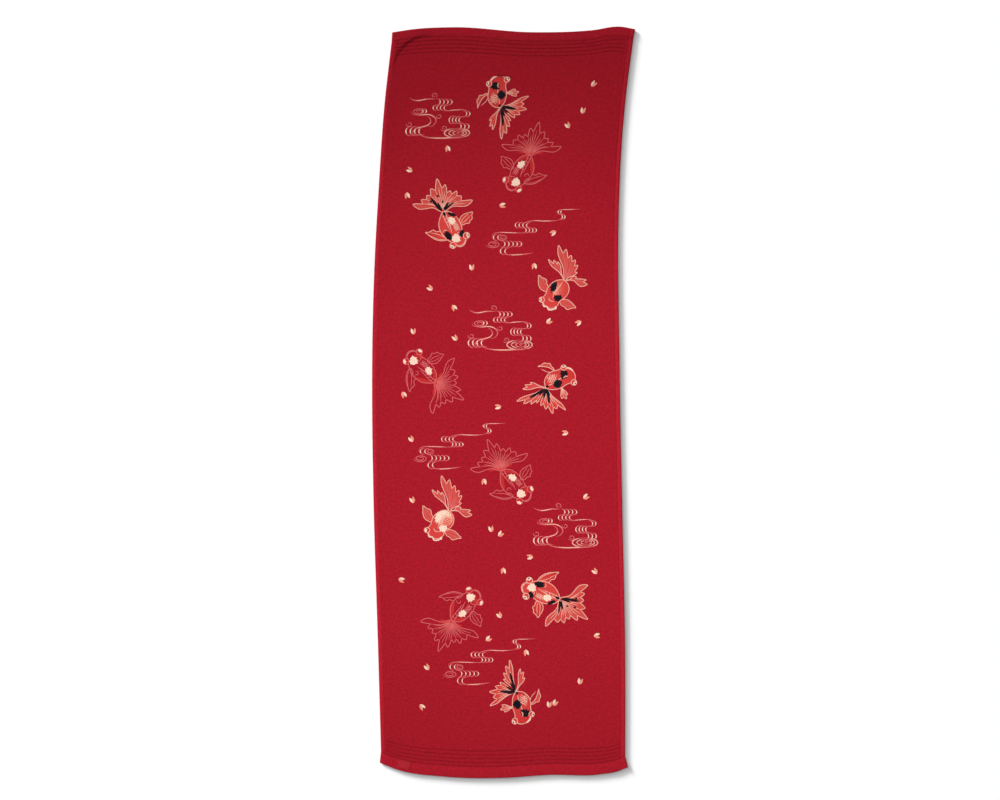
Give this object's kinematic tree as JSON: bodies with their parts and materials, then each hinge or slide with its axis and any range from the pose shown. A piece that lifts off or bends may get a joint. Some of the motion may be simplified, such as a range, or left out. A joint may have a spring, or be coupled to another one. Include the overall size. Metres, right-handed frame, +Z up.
{
  "type": "printed hand towel",
  "caption": "Long flat printed cotton towel with hemmed edges, ribbed end borders and a small plain label, folding in half.",
  "frame": {"origin": "on the surface that the towel lies on, under the middle of its outline", "axes": "+X across the towel, +Y along it away from the label end, +Z up from the printed face"},
  "size_m": [0.3542, 1.0112, 0.005],
  "materials": {
    "cloth": "soft matt cotton with a fine weave, printed on its face",
    "thread": "spun polyester sewing thread, slight sheen",
    "label": "plain woven tape, slight sheen"
  },
  "bodies": {
    "lower_half": {"cloth_lower_half": "cloth", "bottom_hem_needle_thread": "thread", "bottom_hem_bobbin_thread": "thread", "left_hem_needle_thread_lower": "thread", "left_hem_bobbin_thread_lower": "thread", "right_hem_needle_thread_lower": "thread", "right_hem_bobbin_thread_lower": "thread"},
    "upper_half": {"cloth_upper_half": "cloth", "top_hem_needle_thread": "thread", "top_hem_bobbin_thread": "thread", "left_hem_needle_thread_upper": "thread", "left_hem_bobbin_thread_upper": "thread", "right_hem_needle_thread_upper": "thread", "right_hem_bobbin_thread_upper": "thread"},
    "label": {"woven_label": "label"}
  },
  "joints": [
    {"name": "mid_fold", "type": "hinge", "parent": "lower_half", "child": "upper_half", "pos_m": [0, 0, 0.005], "axis": [1, 0, 0], "range_deg": [0, 180]},
    {"name": "label_flip", "type": "hinge", "parent": "lower_half", "child": "label", "pos_m": [-0.13293, -0.48227, 0.00355], "axis": [-0.9717, 0.2363, 0], "range_deg": [0, 170]}
  ]
}
